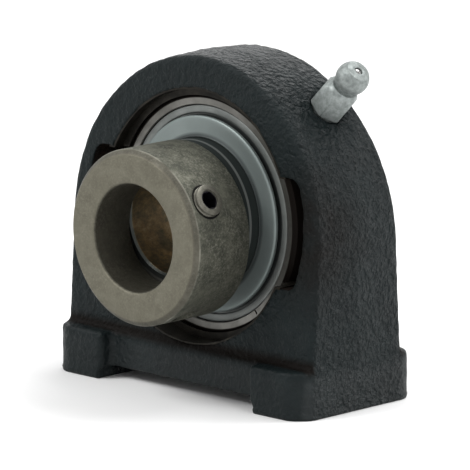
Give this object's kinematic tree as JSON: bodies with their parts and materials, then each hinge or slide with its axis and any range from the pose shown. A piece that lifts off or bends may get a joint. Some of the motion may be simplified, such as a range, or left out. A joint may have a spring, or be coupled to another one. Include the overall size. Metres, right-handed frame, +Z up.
{
  "type": "pillow block bearing",
  "caption": "Cast tapped-base pillow block with a self-aligning ball bearing insert, eccentric locking collar with set screw, and an angled grease nipple.",
  "frame": {"origin": "on the base plane, under the point where the shaft axis crosses the middle of the bearing seat", "axes": "+Y along the shaft from the locking collar to the rear, +Z up from the base, +X to the right seen from the collar side"},
  "size_m": [0.065, 0.0437, 0.0642],
  "materials": {
    "housing_paint": "rough cast, semi-gloss dark grey paint",
    "ring_steel": "ground bearing steel",
    "ball_steel": "polished bearing steel",
    "cage_steel": "pressed sheet steel",
    "seal_steel": "pressed sheet steel",
    "seal_rubber": "matt nitrile rubber",
    "flinger_zinc": "bright zinc plated sheet",
    "collar_steel": "oiled, mottled blackened steel",
    "screw_steel": "black oxide",
    "nipple_zinc": "matt zinc plating",
    "spring_steel": "spring wire"
  },
  "bodies": {
    "housing_body": {"housing": "housing_paint", "grease_nipple": "nipple_zinc", "nipple_spring": "spring_steel"},
    "nipple_ball_body": {"nipple_ball": "ball_steel"},
    "outer_ring_body": {"outer_ring": "ring_steel", "seal_shield_front": "seal_steel", "seal_shield_rear": "seal_steel", "seal_lip_front": "seal_rubber", "seal_lip_rear": "seal_rubber"},
    "inner_ring_body": {"inner_ring": "ring_steel", "flinger_front": "flinger_zinc", "flinger_rear": "flinger_zinc"},
    "cage_body": {"cage_half_front": "cage_steel", "cage_half_rear": "cage_steel", "cage_rivets": "cage_steel"},
    "ball_1_body": {"ball_1": "ball_steel"},
    "ball_2_body": {"ball_2": "ball_steel"},
    "ball_3_body": {"ball_3": "ball_steel"},
    "ball_4_body": {"ball_4": "ball_steel"},
    "ball_5_body": {"ball_5": "ball_steel"},
    "ball_6_body": {"ball_6": "ball_steel"},
    "ball_7_body": {"ball_7": "ball_steel"},
    "ball_8_body": {"ball_8": "ball_steel"},
    "collar_body": {"locking_collar": "collar_steel"},
    "screw_body": {"set_screw": "screw_steel"}
  },
  "joints": [
    {"name": "align_tilt", "type": "hinge", "parent": "housing_body", "child": "outer_ring_body", "pos_m": [0, 0, 0.0333], "axis": [1, 0, 0], "range_deg": [-2.5, 2.5]},
    {"name": "shaft_spin", "type": "hinge", "parent": "outer_ring_body", "child": "inner_ring_body", "pos_m": [0, 0, 0.0333], "axis": [0, 1, 0], "continuous": true},
    {"name": "cage_spin", "type": "hinge", "parent": "outer_ring_body", "child": "cage_body", "pos_m": [0, 0, 0.0333], "axis": [0, 1, 0], "continuous": true},
    {"name": "ball_1_spin", "type": "hinge", "parent": "cage_body", "child": "ball_1_body", "pos_m": [0, 0, 0.05005], "axis": [0, 1, 0], "continuous": true},
    {"name": "ball_2_spin", "type": "hinge", "parent": "cage_body", "child": "ball_2_body", "pos_m": [-0.01184, 0, 0.04514], "axis": [0, 1, 0], "continuous": true},
    {"name": "ball_3_spin", "type": "hinge", "parent": "cage_body", "child": "ball_3_body", "pos_m": [-0.01675, 0, 0.0333], "axis": [0, 1, 0], "continuous": true},
    {"name": "ball_4_spin", "type": "hinge", "parent": "cage_body", "child": "ball_4_body", "pos_m": [-0.01184, 0, 0.02146], "axis": [0, 1, 0], "continuous": true},
    {"name": "ball_5_spin", "type": "hinge", "parent": "cage_body", "child": "ball_5_body", "pos_m": [0, 0, 0.01655], "axis": [0, 1, 0], "continuous": true},
    {"name": "ball_6_spin", "type": "hinge", "parent": "cage_body", "child": "ball_6_body", "pos_m": [0.01184, 0, 0.02146], "axis": [0, 1, 0], "continuous": true},
    {"name": "ball_7_spin", "type": "hinge", "parent": "cage_body", "child": "ball_7_body", "pos_m": [0.01675, 0, 0.0333], "axis": [0, 1, 0], "continuous": true},
    {"name": "ball_8_spin", "type": "hinge", "parent": "cage_body", "child": "ball_8_body", "pos_m": [0.01184, 0, 0.04514], "axis": [0, 1, 0], "continuous": true},
    {"name": "collar_turn", "type": "hinge", "parent": "inner_ring_body", "child": "collar_body", "pos_m": [0, -0.0147, 0.03238], "axis": [0, 1, 0], "continuous": true},
    {"name": "screw_travel", "type": "slide", "parent": "collar_body", "child": "screw_body", "axis": [0.866, 0, 0.5], "range_m": [-0.00145, 0.0014]},
    {"name": "nipple_ball_travel", "type": "slide", "parent": "housing_body", "child": "nipple_ball_body", "axis": [-0.7071, 0, -0.7071], "range_m": [0, 0.0008], "stiffness_N_per_m": 300, "springref_m": -0.0005, "deforming": ["nipple_spring"]}
  ],
  "couplings": [
    {"joint": "cage_spin", "follows": "shaft_spin", "ratio": 0.38152},
    {"joint": "ball_1_spin", "follows": "shaft_spin", "ratio": -1.9916},
    {"joint": "ball_2_spin", "follows": "shaft_spin", "ratio": -1.9916},
    {"joint": "ball_3_spin", "follows": "shaft_spin", "ratio": -1.9916},
    {"joint": "ball_4_spin", "follows": "shaft_spin", "ratio": -1.9916},
    {"joint": "ball_5_spin", "follows": "shaft_spin", "ratio": -1.9916},
    {"joint": "ball_6_spin", "follows": "shaft_spin", "ratio": -1.9916},
    {"joint": "ball_7_spin", "follows": "shaft_spin", "ratio": -1.9916},
    {"joint": "ball_8_spin", "follows": "shaft_spin", "ratio": -1.9916}
  ]
}
